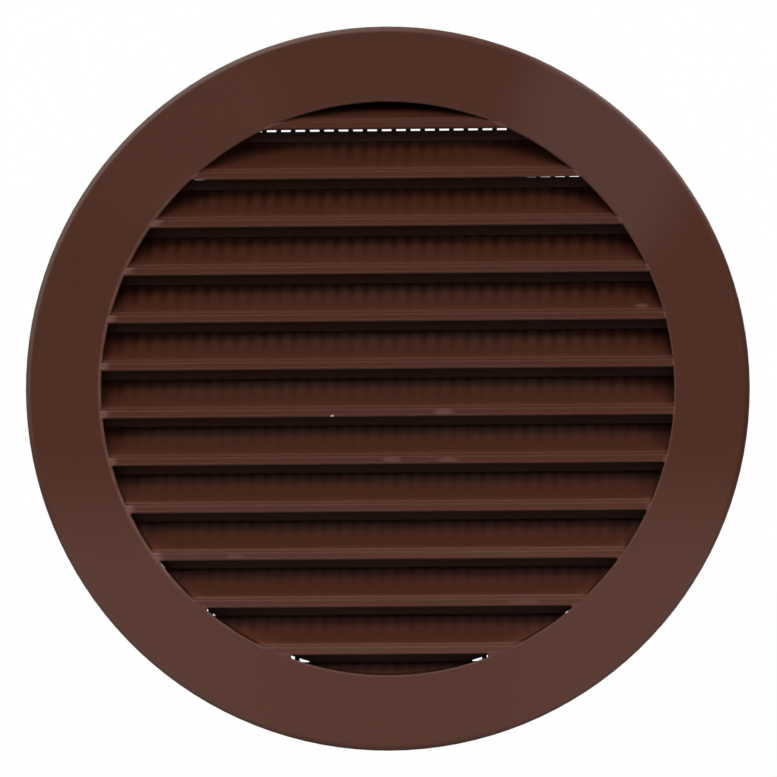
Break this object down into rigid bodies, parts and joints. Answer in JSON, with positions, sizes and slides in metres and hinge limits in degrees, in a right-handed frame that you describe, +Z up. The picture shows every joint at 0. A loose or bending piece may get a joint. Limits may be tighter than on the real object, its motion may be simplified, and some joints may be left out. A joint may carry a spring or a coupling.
{
  "type": "round vent grille",
  "caption": "Round brown plastic vent grille: flat ring flange, sloped louvre slats with upright insect-guard ribs behind them, and a collar that pushes into a round duct.",
  "frame": {"origin": "on the collar's axis, at the flange's back face, where it meets the wall", "axes": "+Y along the collar's axis into the wall, +Z up with the slats level, +X to the right seen from the front"},
  "size_m": [0.15, 0.0225, 0.15],
  "materials": {
    "brown_plastic": "satin moulded plastic"
  },
  "bodies": {
    "root": {"vent_grille": "brown_plastic"}
  },
  "joints": []
}
